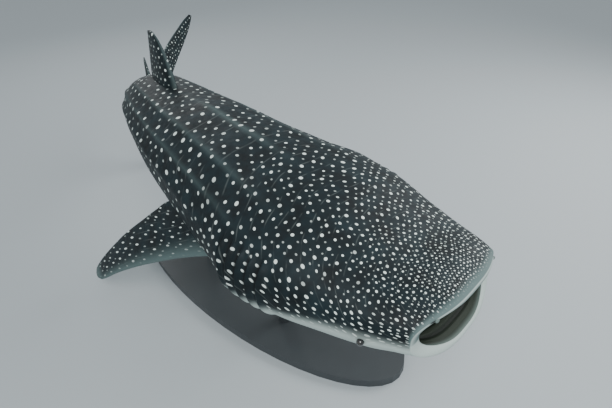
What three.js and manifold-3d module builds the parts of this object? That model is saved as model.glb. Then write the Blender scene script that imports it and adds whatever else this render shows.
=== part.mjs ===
// Whale shark, a still life-size museum model on a stand.
// Millimetres, +Z up. The shark faces -Y and its left side is +X.
// The body is drawn straight, in (x back from the snout, y left, z up), and then bent.
import * as THREE from 'three';
import Module from 'manifold-3d';

const wasm = await Module();
wasm.setup();
const { Manifold, Mesh: SolidMesh } = wasm;

// Driving sizes, in millimetres unless they are shares of the length
const TL = 6000;             // total length, snout to tail tip along the body
const GAP = 0.3;             // gap between touching pieces
const AXIS_HEIGHT = 1300;    // body axis above the floor, at the head
const AHEAD = 0.360 * TL;    // snout ahead of the origin
const ASIDE = 0.035 * TL;    // snout to the right of the origin
const AROUND = 48;           // mesh lines round the body
const RIDGE = 0.0024 * TL;   // height of the skin ridges
const FLAP = 0.0030 * TL;    // height of a gill flap

// Body stations as shares of the length: place, half width, top, bottom
const STATIONS = [
  [0.000, 0.0610, 0.0222, -0.0365],
  [0.012, 0.0698, 0.0272, -0.0355],
  [0.030, 0.0780, 0.0308, -0.0378],
  [0.055, 0.0868, 0.0322, -0.0480],
  [0.100, 0.0995, 0.0438, -0.0586],
  [0.150, 0.1140, 0.0600, -0.0636],
  [0.200, 0.1195, 0.0688, -0.0680],
  [0.250, 0.1070, 0.0738, -0.0684],
  [0.300, 0.0972, 0.0780, -0.0660],
  [0.370, 0.0875, 0.0780, -0.0624],
  [0.440, 0.0797, 0.0700, -0.0580],
  [0.520, 0.0680, 0.0620, -0.0496],
  [0.600, 0.0580, 0.0545, -0.0402],
  [0.680, 0.0447, 0.0448, -0.0307],
  [0.750, 0.0326, 0.0356, -0.0250],
  [0.800, 0.0234, 0.0302, -0.0221],
  [0.850, 0.0115, 0.0265, -0.0181],
];
const BODY_END = 0.812;

// The bends of the still pose: start, end, degrees to the animal's left and upward
const SIDE_BENDS = [
  [0.12, 0.45, 10],
  [0.42, 0.85, 25],
  [0.75, 1.00, 26],
];
const RISE_BENDS = [
  [0.12, 0.45, 5],
  [0.42, 0.85, -33],
  [0.75, 1.00, -2],
];

// Cut planes between the named lengths of the body
const CUT = { gills: 0.150, shoulder: 0.222, middle: 0.360, rear: 0.500, stock: 0.660 };

// The four lengths behind the gills: name, start, end, number of rows
const LENGTHS = [
  ['trunk_front', CUT.shoulder, CUT.middle, 5],
  ['trunk_middle', CUT.middle, CUT.rear, 5],
  ['trunk_rear', CUT.rear, CUT.stock, 5],
  ['tail_stock', CUT.stock, BODY_END, 6],
];

// Ridges: degrees up from the side, start and end along the body, strength
const RIDGES = [
  [90, 0.20, 0.46, 0.8],
  [60, 0.16, 0.64, 0.8],
  [37.5, 0.17, 0.70, 1.0],
  [15, 0.24, 0.80, 1.1],
];
const GILL_PLACES = [0.160, 0.173, 0.186, 0.199, 0.212];

// Open mouth, in shares of the length: corner, lips, cheeks and walls, throat, palate
const MOUTH = {
  corner: 0.017,
  lip: 0.004,
  jawLip: 0.003,
  cheek: 0.010,
  wall: 0.012,
  throat: 0.108,
  palate: 0.008,
  jawForward: 0.001,
};

// Eyes in sockets with a low ring of skin, and nostrils over the upper lip
const EYE = { place: 0.058, height: -0.012, radius: 22, ring: 62 };
const NOSTRIL = { angle: 42, radius: 12, barbel: 11 };

// Fins: where each is rooted, and rows of span, front edge, back edge and thickness
const FIRST_DORSAL = { place: 0.490, slope: -0.13 };
const FIRST_DORSAL_ROWS = [
  [-0.020, -0.006, 0.100, 0.022],
  [0.004, 0.000, 0.110, 0.018],
  [0.022, 0.006, 0.100, 0.015],
  [0.044, 0.016, 0.085, 0.011],
  [0.062, 0.030, 0.075, 0.007],
  [0.072, 0.044, 0.070, 0.004],
  [0.075, 0.053, 0.068, 0.003],
];
const SECOND_DORSAL = { place: 0.650, slope: -0.16 };
const ANAL = { place: 0.668, slope: 0.11 };
const SECOND_DORSAL_ROWS = [
  [-0.012, -0.004, 0.046, 0.010],
  [0.002, 0.001, 0.058, 0.008],
  [0.013, 0.013, 0.046, 0.006],
  [0.028, 0.029, 0.045, 0.004],
  [0.036, 0.040, 0.047, 0.002],
];
const PELVIC = { place: 0.545, side: 0.024, height: -0.026, droop: 66 };
const PELVIC_ROWS = [
  [-0.014, -0.002, 0.050, 0.012],
  [0.006, 0.006, 0.062, 0.009],
  [0.024, 0.019, 0.055, 0.006],
  [0.044, 0.036, 0.055, 0.004],
  [0.052, 0.046, 0.055, 0.002],
];
const PECTORAL = { place: 0.250, side: 0.080, height: -0.014, droop: 54, curl: 0.63, sweep: 1.37 };
const PECTORAL_ROWS = [
  [-0.028, -0.034, 0.092, 0.026],
  [0.006, -0.026, 0.108, 0.022],
  [0.030, -0.014, 0.095, 0.018],
  [0.055, -0.009, 0.081, 0.014],
  [0.090, -0.007, 0.065, 0.011],
  [0.120, -0.006, 0.052, 0.008],
  [0.150, -0.004, 0.042, 0.006],
  [0.166, 0.001, 0.036, 0.004],
  [0.171, 0.010, 0.028, 0.003],
];

// Tail fin: rows of height, front edge, back edge and thickness, and where its lobes part
const CAUDAL_ROWS = [
  [-0.112, 0.905, 0.917, 0.003],
  [-0.095, 0.886, 0.918, 0.005],
  [-0.070, 0.862, 0.908, 0.008],
  [-0.045, 0.839, 0.893, 0.012],
  [-0.022, 0.808, 0.883, 0.017],
  [0.000, 0.800, 0.880, 0.021],
  [0.026, 0.800, 0.885, 0.021],
  [0.050, 0.817, 0.897, 0.017],
  [0.085, 0.848, 0.919, 0.013],
  [0.130, 0.888, 0.946, 0.009],
  [0.175, 0.928, 0.970, 0.006],
  [0.210, 0.958, 0.984, 0.004],
  [0.226, 0.975, 0.987, 0.002],
];
const CAUDAL_SPLIT = -0.020;
const CAUDAL_TOP = 0.226;
const CAUDAL_FOOT = 0.112;

// Stand: an oval base plate and two upright rods
const BASE = { length: 3300, width: 1150, thickness: 70 };
const ROD = { radius: 55, places: [0.26, 0.47] };

const colours = {
  back: '#2b3236',
  fin: '#2f383c',
  jaw: '#a9b0ac',
  eye: '#0c0c0e',
  stand: '#3c3f42',
};

function material(colour, roughness, metalness = 0) {
  return new THREE.MeshStandardMaterial({ color: colour, roughness, metalness });
}

// Smooth monotone curve through rows of a table
function curve(rows, column) {
  const n = rows.length;
  const x = rows.map((row) => row[0]);
  const y = rows.map((row) => row[column]);
  const slope = [];
  for (let i = 0; i < n - 1; i += 1) slope.push((y[i + 1] - y[i]) / (x[i + 1] - x[i]));
  const tangent = [slope[0]];
  for (let i = 1; i < n - 1; i += 1) {
    const flat = slope[i - 1] * slope[i] <= 0;
    tangent.push(flat ? 0 : (2 * slope[i - 1] * slope[i]) / (slope[i - 1] + slope[i]));
  }
  tangent.push(slope[n - 2]);
  return (at) => {
    const a = Math.min(Math.max(at, x[0]), x[n - 1]);
    let i = 0;
    while (i < n - 2 && a > x[i + 1]) i += 1;
    const h = x[i + 1] - x[i];
    const t = (a - x[i]) / h;
    const t2 = t * t;
    const t3 = t2 * t;
    return (2 * t3 - 3 * t2 + 1) * y[i] + (t3 - 2 * t2 + t) * h * tangent[i]
      + (3 * t2 - 2 * t3) * y[i + 1] + (t3 - t2) * h * tangent[i + 1];
  };
}

const smooth = (t) => {
  const c = Math.min(Math.max(t, 0), 1);
  return c * c * (3 - 2 * c);
};
const halfWidth = curve(STATIONS, 1);
const topAt = curve(STATIONS, 2);
const bottomAt = curve(STATIONS, 3);
const squareness = (x) => 2.15 + 0.45 * Math.exp(-Math.pow(x / 0.12, 2));

function ridgeLift(x, degrees) {
  const side = degrees > 90 && degrees < 270 ? 180 - degrees : degrees;
  let lift = 0;
  for (const [angle, from, to, strength] of RIDGES) {
    const along = smooth((x - from) / 0.08) * smooth((to - x) / 0.06);
    lift += strength * along * Math.exp(-Math.pow((side - angle) / 5, 2));
  }
  return lift * RIDGE;
}

// Point on the body's surface, pushed outward by grow
function bodyPoint(x, degrees, grow = 0) {
  const a = THREE.MathUtils.degToRad(degrees);
  const power = 2 / squareness(x);
  const c = Math.cos(a);
  const s = Math.sin(a);
  const w = halfWidth(x) * TL;
  const h = (s >= 0 ? topAt(x) : -bottomAt(x)) * TL;
  const y = Math.sign(c) * Math.pow(Math.abs(c), power) * w;
  const z = Math.sign(s) * Math.pow(Math.abs(s), power) * h;
  const normal = new THREE.Vector2(y / (w * w), z / (h * h)).normalize();
  const out = grow + ridgeLift(x, degrees);
  return new THREE.Vector3(x * TL, y + normal.x * out, z + normal.y * out);
}

// Lofts a closed solid from rings of equal length.
// From the point called mirror on, the squares are cut along their other diagonal.
function loft(rings, mirror = Infinity) {
  const n = rings[0].length;
  const points = rings.flat();
  const faces = [];
  for (let i = 0; i < rings.length - 1; i += 1) {
    for (let j = 0; j < n; j += 1) {
      const k = (j + 1) % n;
      const a = i * n + j;
      const b = i * n + k;
      if (j < mirror) faces.push([a, b, b + n], [a, b + n, a + n]);
      else faces.push([a, b, a + n], [b, b + n, a + n]);
    }
  }
  capRing(points, faces, rings[0], 0, true);
  capRing(points, faces, rings[rings.length - 1], (rings.length - 1) * n, false);
  return solidFrom(points, faces);
}

function capRing(points, faces, ring, start, front) {
  const middle = new THREE.Vector3();
  ring.forEach((p) => middle.addScaledVector(p, 1 / ring.length));
  const centre = points.push(middle) - 1;
  for (let j = 0; j < ring.length; j += 1) {
    const a = start + j;
    const b = start + ((j + 1) % ring.length);
    faces.push(front ? [centre, b, a] : [centre, a, b]);
  }
}

function solidFrom(points, faces) {
  const vertProperties = new Float32Array(points.flatMap((p) => [p.x, p.y, p.z]));
  let triVerts = new Uint32Array(faces.flat());
  let solid = new Manifold(new SolidMesh({ numProp: 3, vertProperties, triVerts }));
  if (solid.volume() < 0) {
    triVerts = new Uint32Array(faces.map(([a, b, c]) => [a, c, b]).flat());
    solid = new Manifold(new SolidMesh({ numProp: 3, vertProperties, triVerts }));
  }
  return solid;
}

function fromGeometry(geometry, matrix) {
  const flat = geometry.index ? geometry.toNonIndexed() : geometry;
  if (matrix) flat.applyMatrix4(matrix);
  const position = flat.getAttribute('position');
  const points = [];
  const found = new Map();
  const faces = [];
  for (let i = 0; i < position.count; i += 3) {
    const face = [0, 1, 2].map((k) => {
      const p = new THREE.Vector3().fromBufferAttribute(position, i + k);
      const key = p.toArray().map((v) => Math.round(v * 1000) + 0).join(',');
      if (!found.has(key)) found.set(key, points.push(p) - 1);
      return found.get(key);
    });
    if (new Set(face).size === 3) faces.push(face);
  }
  return solidFrom(points, faces);
}

function ringAt(x, grow = 0, lift = () => 0) {
  const ring = [];
  for (let j = 0; j < AROUND; j += 1) {
    const degrees = (j * 360) / AROUND;
    ring.push(bodyPoint(x, degrees, grow + lift(x, degrees)));
  }
  return ring;
}

function steps(from, to, count) {
  return Array.from({ length: count + 1 }, (_, i) => from + ((to - from) * i) / count);
}

const HALF_GAP = GAP / 2 / TL;

function bodyRings(from, to, count, grow = 0) {
  return steps(from + HALF_GAP, to - HALF_GAP, count).map((x) => ringAt(x, grow));
}

// Head with the open mouth: outer skin, lip and mouth cavity in one loft
function rimPlace(degrees) {
  const c = Math.abs(Math.cos(THREE.MathUtils.degToRad(degrees)));
  const front = degrees > 0 && degrees < 180 ? 0 : MOUTH.jawForward;
  return front + (MOUTH.corner - front) * Math.pow(c, 2.4);
}

function cavityPoint(x, degrees, inset) {
  const outer = bodyPoint(x, degrees);
  const w = halfWidth(x) * TL;
  const narrow = (w - inset - MOUTH.cheek * TL) / w;
  const palate = (MOUTH.palate + 0.10 * (0.03 - x)) * TL;
  const edge = topAt(x) * TL - inset;
  const roof = edge + (palate - edge) * smooth((x - 0.002) / 0.055);
  const floor = bottomAt(x) * TL + inset + MOUTH.jawLip * TL;
  const top = topAt(x) * TL;
  const z = outer.z >= 0 ? (outer.z / top) * roof : (outer.z / (bottomAt(x) * TL)) * floor;
  return new THREE.Vector3(outer.x, outer.y * narrow, z);
}

function headRing(share, make) {
  const ring = [];
  for (let j = 0; j < AROUND; j += 1) {
    const degrees = (j * 360) / AROUND;
    ring.push(make(share, degrees));
  }
  return ring;
}

// Point on the rounded lip: turn runs from 0 on the outside to 1 inside the mouth
function lipPoint(turn, degrees) {
  const rim = rimPlace(degrees) + 0.5 * MOUTH.lip;
  const outer = bodyPoint(rim, degrees);
  const inner = cavityPoint(rim, degrees, MOUTH.lip * TL);
  const middle = outer.clone().add(inner).multiplyScalar(0.5);
  const reach = outer.clone().sub(inner).multiplyScalar(0.5 * Math.cos(Math.PI * turn));
  const point = middle.add(reach);
  point.x -= 0.5 * MOUTH.lip * TL * Math.sin(Math.PI * turn);
  return point;
}

function buildHead() {
  const back = CUT.gills - HALF_GAP;
  const outerPoint = (share, degrees) => {
    const rim = rimPlace(degrees) + 0.5 * MOUTH.lip;
    return bodyPoint(rim + (back - rim) * share, degrees);
  };
  const innerPoint = (share, degrees) => {
    const rim = rimPlace(degrees) + 0.5 * MOUTH.lip;
    const x = rim + (MOUTH.throat - rim) * share;
    const inset = (MOUTH.lip + (MOUTH.wall - MOUTH.lip) * smooth(share * 4)) * TL;
    return cavityPoint(x, degrees, inset);
  };
  const rings = [1, 0.84, 0.68, 0.54, 0.42, 0.31, 0.22, 0.14, 0.07, 0]
    .map((share) => headRing(share, outerPoint));
  for (const turn of [0.25, 0.5, 0.75]) rings.push(headRing(turn, lipPoint));
  for (const share of [0, 0.15, 0.35, 0.6, 0.85, 1]) rings.push(headRing(share, innerPoint));
  return loft(rings);
}

// Gill slits: the skin lifts toward the back of each flap and steps in behind it
function gillReach(degrees) {
  const side = degrees > 90 && degrees < 270 ? 180 - degrees : degrees;
  const folded = side > 180 ? side - 360 : side;
  return smooth((folded + 44) / 18) * smooth((34 - folded) / 14);
}

function gillRings(grow = 0) {
  const rings = [ringAt(CUT.gills + HALF_GAP, grow)];
  for (const place of GILL_PLACES) {
    const edge = (x, amount) => ringAt(x, grow, (_, degrees) => amount * gillReach(degrees));
    rings.push(edge(place - 0.0012, FLAP));
    rings.push(edge(place + 0.0012, -FLAP * 0.8));
    rings.push(edge(place + 0.0060, 0));
  }
  rings.push(ringAt(CUT.shoulder - HALF_GAP, grow));
  return rings;
}

// Fins: span rows give the place along the span, front edge, back edge and thickness.
// Both faces are cut into the same triangles.
function buildFin({ root, along, spine, rows, chordPoints = 6, stations = 9 }) {
  const front = curve(rows, 1);
  const rear = curve(rows, 2);
  const thick = curve(rows, 3);
  const first = rows[0][0];
  const last = rows[rows.length - 1][0];
  const rings = [];
  for (let i = 0; i <= stations; i += 1) {
    const s = first + (last - first) * Math.sin((i / stations) * Math.PI * 0.5);
    const step = spine(s + 0.001).sub(spine(s - 0.001)).normalize();
    const side = new THREE.Vector3().crossVectors(along, step).normalize();
    const half = (thick(s) * TL) / 2;
    const place = (share, sign) => {
      const bulge = half * (0.16 + 0.84 * Math.pow(Math.sin(Math.PI * Math.pow(share, 0.6)), 0.8));
      const reach = (front(s) + (rear(s) - front(s)) * share) * TL;
      return root.clone().addScaledVector(along, reach)
        .addScaledVector(spine(s), TL)
        .addScaledVector(side, sign * bulge);
    };
    const shares = steps(0, 1, chordPoints);
    const upper = shares.map((share) => place(share, 1));
    const lower = shares.map((share) => place(share, -1)).reverse();
    rings.push(upper.concat(lower));
  }
  return loft(rings, chordPoints + 1);
}

// Straight frame to the posed frame: the midline turns sideways and down in smooth stretches
const SPINE_STEPS = 400;
const SPINE_STEP = (1.05 * TL) / SPINE_STEPS;

function bendAt(bends, x) {
  let angle = 0;
  for (const [from, to, degrees] of bends) {
    angle += THREE.MathUtils.degToRad(degrees) * smooth((x - from) / (to - from));
  }
  return angle;
}

const spinePoints = [new THREE.Vector3()];
for (let i = 0; i < SPINE_STEPS; i += 1) {
  const x = ((i + 0.5) * SPINE_STEP) / TL;
  const turn = bendAt(SIDE_BENDS, x);
  const rise = bendAt(RISE_BENDS, x);
  const step = new THREE.Vector3(
    Math.sin(turn) * Math.cos(rise),
    Math.cos(turn) * Math.cos(rise),
    Math.sin(rise),
  );
  spinePoints.push(spinePoints[i].clone().addScaledVector(step, SPINE_STEP));
}

const SHIFT = new THREE.Vector3(-ASIDE, -AHEAD, AXIS_HEIGHT);

function pose(p) {
  const at = Math.min(Math.max(p.x / SPINE_STEP, 0), SPINE_STEPS - 1e-6);
  const i = Math.floor(at);
  const middle = spinePoints[i].clone().lerp(spinePoints[i + 1], at - i);
  const turn = bendAt(SIDE_BENDS, p.x / TL);
  const rise = bendAt(RISE_BENDS, p.x / TL);
  const left = new THREE.Vector3(Math.cos(turn), -Math.sin(turn), 0);
  const up = new THREE.Vector3(
    -Math.sin(turn) * Math.sin(rise),
    -Math.cos(turn) * Math.sin(rise),
    Math.cos(rise),
  );
  middle.y += Math.min(p.x, 0);
  return middle.addScaledVector(left, p.y).addScaledVector(up, p.z).add(SHIFT);
}

// The body a little grown, to cut what touches it
const grownBody = loft([
  ...steps(0, 0.13, 10).map((x) => ringAt(x, GAP)),
  ...gillRings(GAP),
  ...LENGTHS.flatMap(([, from, to, count]) => bodyRings(from, to, count, GAP)),
  ringAt(BODY_END, GAP).map((p) => p.clone().setX(p.x + GAP)),
]);

const vector = (x, y, z) => new THREE.Vector3(x, y, z);

function uprightFin(spec, rows, sign) {
  const edge = (sign > 0 ? topAt : bottomAt)(spec.place);
  return buildFin({
    root: vector(spec.place, 0, edge).multiplyScalar(TL),
    along: vector(1, 0, spec.slope).normalize(),
    spine: (s) => vector(0, 0, sign * s),
    rows,
  });
}

function pairedFin(spec, rows, side, options = {}) {
  const droop = THREE.MathUtils.degToRad(spec.droop);
  const curl = spec.curl ?? 0;
  const sweep = spec.sweep ?? 0;
  return buildFin({
    root: vector(spec.place, side * spec.side, spec.height).multiplyScalar(TL),
    along: vector(1, 0, 0),
    spine: (s) => vector(
      sweep * s,
      side * Math.cos(droop) * s,
      -Math.sin(droop) * s - curl * s * Math.abs(s) * 3,
    ),
    rows,
    ...options,
  });
}

function caudalLobe(sign, from, to, stations) {
  const [front, rear, thick] = [1, 2, 3].map((column) => curve(CAUDAL_ROWS, column));
  const rows = steps(from, to, 12)
    .map((s) => [s, front(sign * s), rear(sign * s), thick(sign * s)]);
  return buildFin({
    root: vector(0, 0, 0),
    along: vector(1, 0, 0),
    spine: (s) => vector(0, 0, sign * s),
    rows,
    stations,
    chordPoints: 5,
  });
}

const group = new THREE.Group();
group.name = 'whale_shark';

// The posed copy of a straight solid; its faces turn over because left and right swap hands
function posed(solid) {
  const mesh = solid.getMesh();
  const points = [];
  for (let i = 0; i < mesh.numVert; i += 1) {
    const at = i * mesh.numProp;
    points.push(pose(new THREE.Vector3(...mesh.vertProperties.slice(at, at + 3))));
  }
  const faces = [];
  for (let i = 0; i < mesh.triVerts.length; i += 3) {
    const [a, b, c] = mesh.triVerts.slice(i, i + 3);
    faces.push([a, c, b]);
  }
  return solidFrom(points, faces);
}

function addMesh(name, solid, colour, roughness) {
  const mesh = solid.getMesh();
  const position = new Float32Array(mesh.numVert * 3);
  for (let i = 0; i < mesh.numVert; i += 1) {
    const at = i * mesh.numProp;
    position.set(mesh.vertProperties.slice(at, at + 3), i * 3);
  }
  const geometry = new THREE.BufferGeometry();
  geometry.setAttribute('position', new THREE.BufferAttribute(position, 3));
  geometry.setIndex(Array.from(mesh.triVerts));
  geometry.computeVertexNormals();
  const item = new THREE.Mesh(geometry, material(colour, roughness));
  item.name = name;
  group.add(item);
  return item;
}

const addPosed = (name, solid, colour, roughness) => addMesh(name, posed(solid), colour, roughness);

// A large slab on the side of a plane, to split a solid
function slabBelow(point, normal, gap) {
  const size = 4000;
  const out = normal.clone().normalize();
  const turn = new THREE.Quaternion().setFromUnitVectors(new THREE.Vector3(0, 0, -1), out);
  const centre = point.clone().addScaledVector(out, size / 2 + gap);
  const matrix = new THREE.Matrix4().compose(centre, turn, new THREE.Vector3(1, 1, 1));
  return fromGeometry(new THREE.BoxGeometry(size, size, size), matrix);
}

// Head with the eyes' rings and sockets, and a nostril and its barbel by each lip corner
function eyeCentre(side, depth) {
  const w = halfWidth(EYE.place) * TL;
  return vector(EYE.place * TL, side * (w - depth), EYE.height * TL);
}

function ball(centre, radius, scale, detail = 2) {
  const matrix = new THREE.Matrix4().compose(centre, new THREE.Quaternion(), scale);
  return fromGeometry(new THREE.IcosahedronGeometry(radius, detail), matrix);
}

let head = buildHead();
for (const side of [1, -1]) {
  const ring = ball(eyeCentre(side, 14), EYE.ring, vector(1, 0.42, 0.8));
  head = head.add(ring);
}
for (const side of [1, -1]) {
  head = head.subtract(ball(eyeCentre(side, -8), EYE.radius + GAP, vector(1, 1, 1)));
}
for (const degrees of [NOSTRIL.angle, 180 - NOSTRIL.angle]) {
  head = head.add(ball(lipPoint(0.40, degrees), NOSTRIL.barbel, vector(0.9, 1.8, 1.3)));
  head = head.subtract(ball(lipPoint(0.12, degrees), NOSTRIL.radius, vector(1.0, 2.2, 0.9)));
}

// The lower jaw is parted from the head at the mouth corners, down and back to the throat
const jawHinge = vector(MOUTH.corner * TL, 0, 0);
const jawBack = vector(0.085 * TL, 0, -0.064 * TL);
const jawSlope = jawBack.clone().sub(jawHinge);
const jawNormal = vector(jawSlope.z, 0, -jawSlope.x).normalize();

function jawSide(gap) {
  const ahead = slabBelow(jawHinge, jawNormal, gap);
  return ahead.intersect(slabBelow(jawHinge, vector(0, 0, -1), gap));
}

const jaw = head.intersect(jawSide(GAP / 2));
const skull = head.subtract(jawSide(-GAP / 2));
addPosed('head', skull, colours.back, 0.55);
addPosed('lower_jaw', jaw, colours.jaw, 0.5);
for (const side of [1, -1]) {
  const label = side > 0 ? 'left' : 'right';
  addPosed(`eye_${label}`, ball(eyeCentre(side, -8), EYE.radius, vector(1, 1, 1)), colours.eye, 0.12);
}

addPosed('gills', loft(gillRings()), colours.back, 0.55);
for (const [name, from, to, count] of LENGTHS) {
  addPosed(name, loft(bodyRings(from, to, count)), colours.back, 0.55);
}

const posedBody = posed(grownBody);
const addFin = (name, fin) => addMesh(name, posed(fin).subtract(posedBody), colours.fin, 0.55);
addFin('dorsal_first', uprightFin(FIRST_DORSAL, FIRST_DORSAL_ROWS, 1));
addFin('dorsal_second', uprightFin(SECOND_DORSAL, SECOND_DORSAL_ROWS, 1));
addFin('anal_fin', uprightFin(ANAL, SECOND_DORSAL_ROWS, -1));
for (const side of [1, -1]) {
  const label = side > 0 ? 'left' : 'right';
  const detail = { chordPoints: 7, stations: 11 };
  addFin(`pectoral_${label}`, pairedFin(PECTORAL, PECTORAL_ROWS, side, detail));
  addFin(`pelvic_${label}`, pairedFin(PELVIC, PELVIC_ROWS, side));
}
addFin('caudal_upper', caudalLobe(1, CAUDAL_SPLIT + HALF_GAP, CAUDAL_TOP, 14));
addFin('caudal_lower', caudalLobe(-1, HALF_GAP - CAUDAL_SPLIT, CAUDAL_FOOT, 8));

// Stand: a flat oval base and two upright rods
const basePlate = fromGeometry(
  new THREE.CylinderGeometry(0.5, 0.5, 1, 48),
  new THREE.Matrix4().makeTranslation(0, 0, BASE.thickness / 2)
    .multiply(new THREE.Matrix4().makeScale(BASE.width, BASE.length, BASE.thickness))
    .multiply(new THREE.Matrix4().makeRotationX(Math.PI / 2)),
);
addMesh('stand_base', basePlate, colours.stand, 0.4);
for (const [i, place] of ROD.places.entries()) {
  const label = i === 0 ? 'front' : 'rear';
  const foot = pose(vector(place * TL, 0, bottomAt(place) * TL * 0.5));
  const low = BASE.thickness + GAP;
  const matrix = new THREE.Matrix4().makeTranslation(foot.x, foot.y, (low + foot.z) / 2)
    .multiply(new THREE.Matrix4().makeRotationX(Math.PI / 2));
  const bar = fromGeometry(new THREE.CylinderGeometry(ROD.radius, ROD.radius, foot.z - low, 24), matrix);
  addMesh(`stand_rod_${label}`, bar.subtract(posedBody), colours.stand, 0.35);
}

export default group;
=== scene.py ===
import math
import bmesh
import bpy
from mathutils import Matrix, Vector


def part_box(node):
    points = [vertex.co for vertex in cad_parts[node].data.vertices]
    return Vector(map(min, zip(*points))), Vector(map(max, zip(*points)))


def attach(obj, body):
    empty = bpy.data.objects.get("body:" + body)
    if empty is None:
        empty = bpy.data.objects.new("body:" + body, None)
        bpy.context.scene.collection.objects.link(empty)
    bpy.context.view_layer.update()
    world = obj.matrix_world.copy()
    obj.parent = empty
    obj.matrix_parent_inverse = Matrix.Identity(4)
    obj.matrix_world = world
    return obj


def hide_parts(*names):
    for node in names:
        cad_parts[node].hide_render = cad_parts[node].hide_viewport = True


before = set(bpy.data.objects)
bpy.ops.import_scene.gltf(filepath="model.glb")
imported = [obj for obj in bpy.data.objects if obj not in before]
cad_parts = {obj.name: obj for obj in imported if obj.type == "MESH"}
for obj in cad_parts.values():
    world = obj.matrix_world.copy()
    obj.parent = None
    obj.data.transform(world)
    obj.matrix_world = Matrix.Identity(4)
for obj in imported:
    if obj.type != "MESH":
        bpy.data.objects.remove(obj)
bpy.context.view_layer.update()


# The body, from the lips to the root of the tail fin: tough sharkskin, cast as one hollow
# shell and painted, dark slate above with pale spots and white underneath. Its form is drawn
# straight, in shares of its length, and its midline is then bent into the swimming pose.
LENGTH = 6.0
HEIGHT_OF_AXIS = 1.30
# Each station is its place back from the snout, half width, top and underside.
STATIONS = [
    (0.000, 0.0610, 0.0222, -0.0365),
    (0.012, 0.0698, 0.0272, -0.0355),
    (0.030, 0.0780, 0.0308, -0.0378),
    (0.055, 0.0868, 0.0322, -0.0480),
    (0.100, 0.0995, 0.0438, -0.0586),
    (0.150, 0.1140, 0.0600, -0.0636),
    (0.200, 0.1195, 0.0688, -0.0680),
    (0.250, 0.1070, 0.0738, -0.0684),
    (0.300, 0.0972, 0.0780, -0.0660),
    (0.370, 0.0875, 0.0780, -0.0624),
    (0.440, 0.0797, 0.0700, -0.0580),
    (0.520, 0.0680, 0.0620, -0.0496),
    (0.600, 0.0580, 0.0545, -0.0402),
    (0.680, 0.0447, 0.0448, -0.0307),
    (0.750, 0.0326, 0.0356, -0.0250),
    (0.800, 0.0234, 0.0302, -0.0221),
    (0.850, 0.0115, 0.0265, -0.0181),
]
BODY_END = 0.812
# Each bend starts and ends at these places and turns the midline by these degrees.
SIDE_BENDS = [(0.12, 0.45, 10), (0.42, 0.85, 25), (0.75, 1.00, 26)]
RISE_BENDS = [(0.12, 0.45, 5), (0.42, 0.85, -33), (0.75, 1.00, -2)]
SHIFT = Vector((-0.035 * LENGTH, -0.36 * LENGTH, HEIGHT_OF_AXIS))


def smooth(t):
    t = min(max(t, 0.0), 1.0)
    return t * t * (3 - 2 * t)


def curve(rows, column):
    """A smooth curve through one column of a table, with no overshoot."""
    x = [row[0] for row in rows]
    y = [row[column] for row in rows]
    n = len(rows)
    slope = [(y[i + 1] - y[i]) / (x[i + 1] - x[i]) for i in range(n - 1)]
    tangent = [slope[0]]
    for i in range(1, n - 1):
        flat = slope[i - 1] * slope[i] <= 0
        tangent.append(0 if flat else 2 * slope[i - 1] * slope[i] / (slope[i - 1] + slope[i]))
    tangent.append(slope[-1])

    def value(at):
        at = min(max(at, x[0]), x[-1])
        i = 0
        while i < n - 2 and at > x[i + 1]:
            i += 1
        h = x[i + 1] - x[i]
        t = (at - x[i]) / h
        return ((2 * t**3 - 3 * t**2 + 1) * y[i] + (t**3 - 2 * t**2 + t) * h * tangent[i]
                + (3 * t**2 - 2 * t**3) * y[i + 1] + (t**3 - t**2) * h * tangent[i + 1])
    return value


half_width = curve(STATIONS, 1)
top_at = curve(STATIONS, 2)
bottom_at = curve(STATIONS, 3)


def bend_at(bends, x):
    """Angle of the midline at x, in radians."""
    return sum(math.radians(turn) * smooth((x - start) / (end - start))
               for start, end, turn in bends)


SPINE_STEPS = 800
SPINE_STEP = 1.05 * LENGTH / SPINE_STEPS
spine = [Vector((0, 0, 0))]
for step in range(SPINE_STEPS):
    x = (step + 0.5) * SPINE_STEP / LENGTH
    turn = bend_at(SIDE_BENDS, x)
    rise = bend_at(RISE_BENDS, x)
    ahead = Vector((math.sin(turn) * math.cos(rise), math.cos(turn) * math.cos(rise), math.sin(rise)))
    spine.append(spine[-1] + ahead * SPINE_STEP)


def pose(x, y, z):
    """A point of the straight shark, in metres, put in its place on the bent one."""
    at = min(max(x / SPINE_STEP, 0), SPINE_STEPS - 1e-6)
    i = int(at)
    middle = spine[i].lerp(spine[i + 1], at - i)
    turn = bend_at(SIDE_BENDS, x / LENGTH)
    rise = bend_at(RISE_BENDS, x / LENGTH)
    left = Vector((math.cos(turn), -math.sin(turn), 0))
    up = Vector((-math.sin(turn) * math.sin(rise), -math.cos(turn) * math.sin(rise), math.cos(rise)))
    middle.y += min(x, 0)
    return middle + left * y + up * z + SHIFT


RIDGE = 0.0024 * LENGTH
RIDGE_WIDTH = 5.0
# Each ridge has its angle up from the side, its start and end, and its share of RIDGE.
RIDGES = [
    (90, 0.20, 0.46, 0.8),
    (60, 0.16, 0.64, 0.8),
    (37.5, 0.17, 0.70, 1.0),
    (15, 0.24, 0.80, 1.1),
]
GILL_PLACES = [0.160, 0.173, 0.186, 0.199, 0.212]
GILL_START = 0.150
GILL_END = 0.222
SLIT_HALF = 0.0012
SLIT_LEVEL = 0.0060
SLIT_DEPTH = 0.8
FLAP = 0.0030 * LENGTH


def fold_to_side(degrees):
    """Angle up from the animal's side, the same for left and right."""
    side = 180 - degrees if 90 < degrees < 270 else degrees
    return side - 360 if side > 180 else side


def ridge_lift(x, degrees):
    side = fold_to_side(degrees)
    lift = 0
    for angle, start, end, strength in RIDGES:
        along = smooth((x - start) / 0.08) * smooth((end - x) / 0.06)
        lift += strength * along * math.exp(-(((side - angle) / RIDGE_WIDTH) ** 2))
    return lift * RIDGE


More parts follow.
